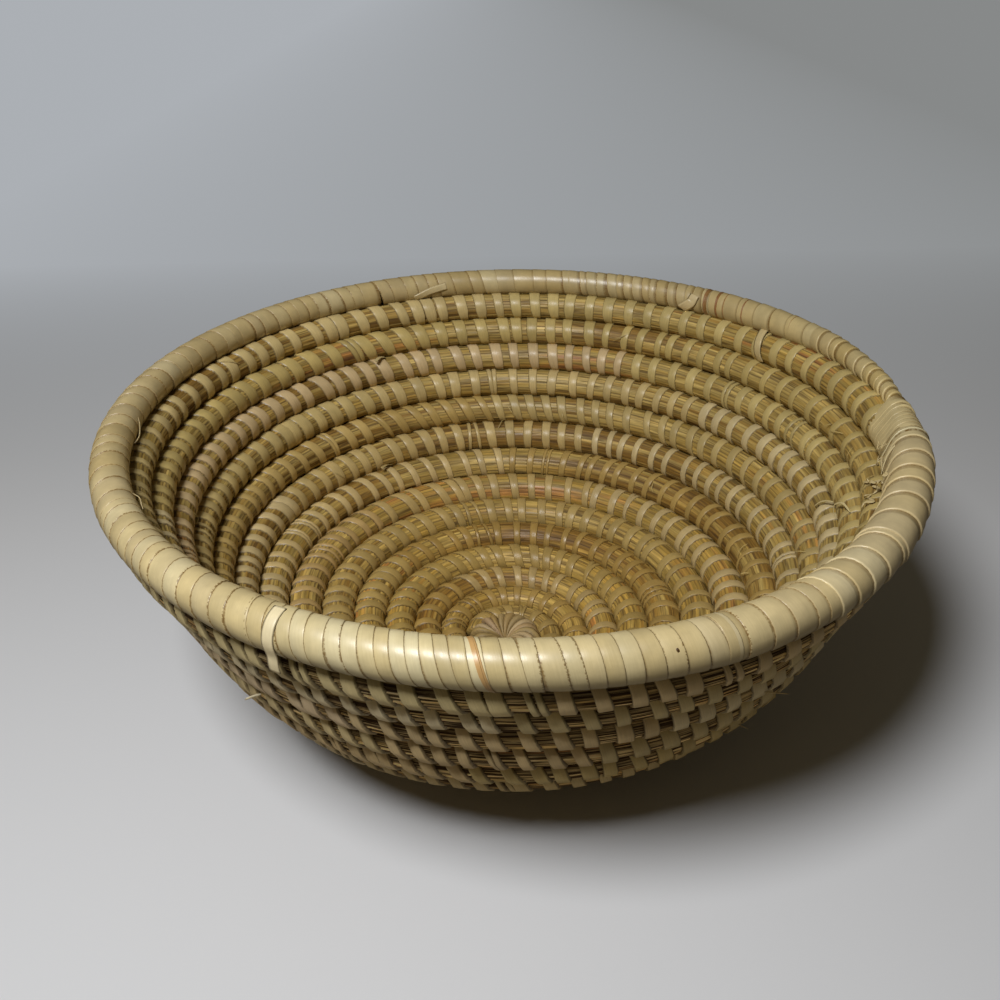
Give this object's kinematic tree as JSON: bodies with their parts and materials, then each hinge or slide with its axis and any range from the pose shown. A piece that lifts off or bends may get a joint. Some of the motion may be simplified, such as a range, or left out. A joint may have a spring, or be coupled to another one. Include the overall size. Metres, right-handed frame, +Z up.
{
  "type": "coiled basket",
  "caption": "Round open bowl basket, coiled from a grass bundle sewn with flat leaf strips, with a wrapped rim.",
  "frame": {"origin": "middle of the base, on the surface that the basket stands on", "axes": "+Z up out of the bowl; +X towards the end of the rim's wrapping; +Y a quarter turn from it, anticlockwise seen from above"},
  "size_m": [0.2508, 0.2589, 0.1038],
  "materials": {
    "grass_stems": "dry matte plant stems, brown to gold",
    "split_leaf": "satin split leaf, fine lengthwise fibres",
    "pale_split_leaf": "glossy cream split leaf"
  },
  "bodies": {
    "root": {"grass_coil": "grass_stems", "start_knot": "split_leaf", "rim_wrap": "pale_split_leaf", "rim_end_binding": "pale_split_leaf", "sewing_strip_turn_02": "split_leaf", "sewing_strip_turn_03": "split_leaf", "sewing_strip_turn_04": "split_leaf", "sewing_strip_turn_05": "split_leaf", "sewing_strip_turn_06": "split_leaf", "sewing_strip_turn_07": "split_leaf", "sewing_strip_turn_08": "split_leaf", "sewing_strip_turn_09": "split_leaf", "sewing_strip_turn_10": "split_leaf", "sewing_strip_turn_11": "split_leaf", "sewing_strip_turn_12": "split_leaf"}
  },
  "joints": []
}
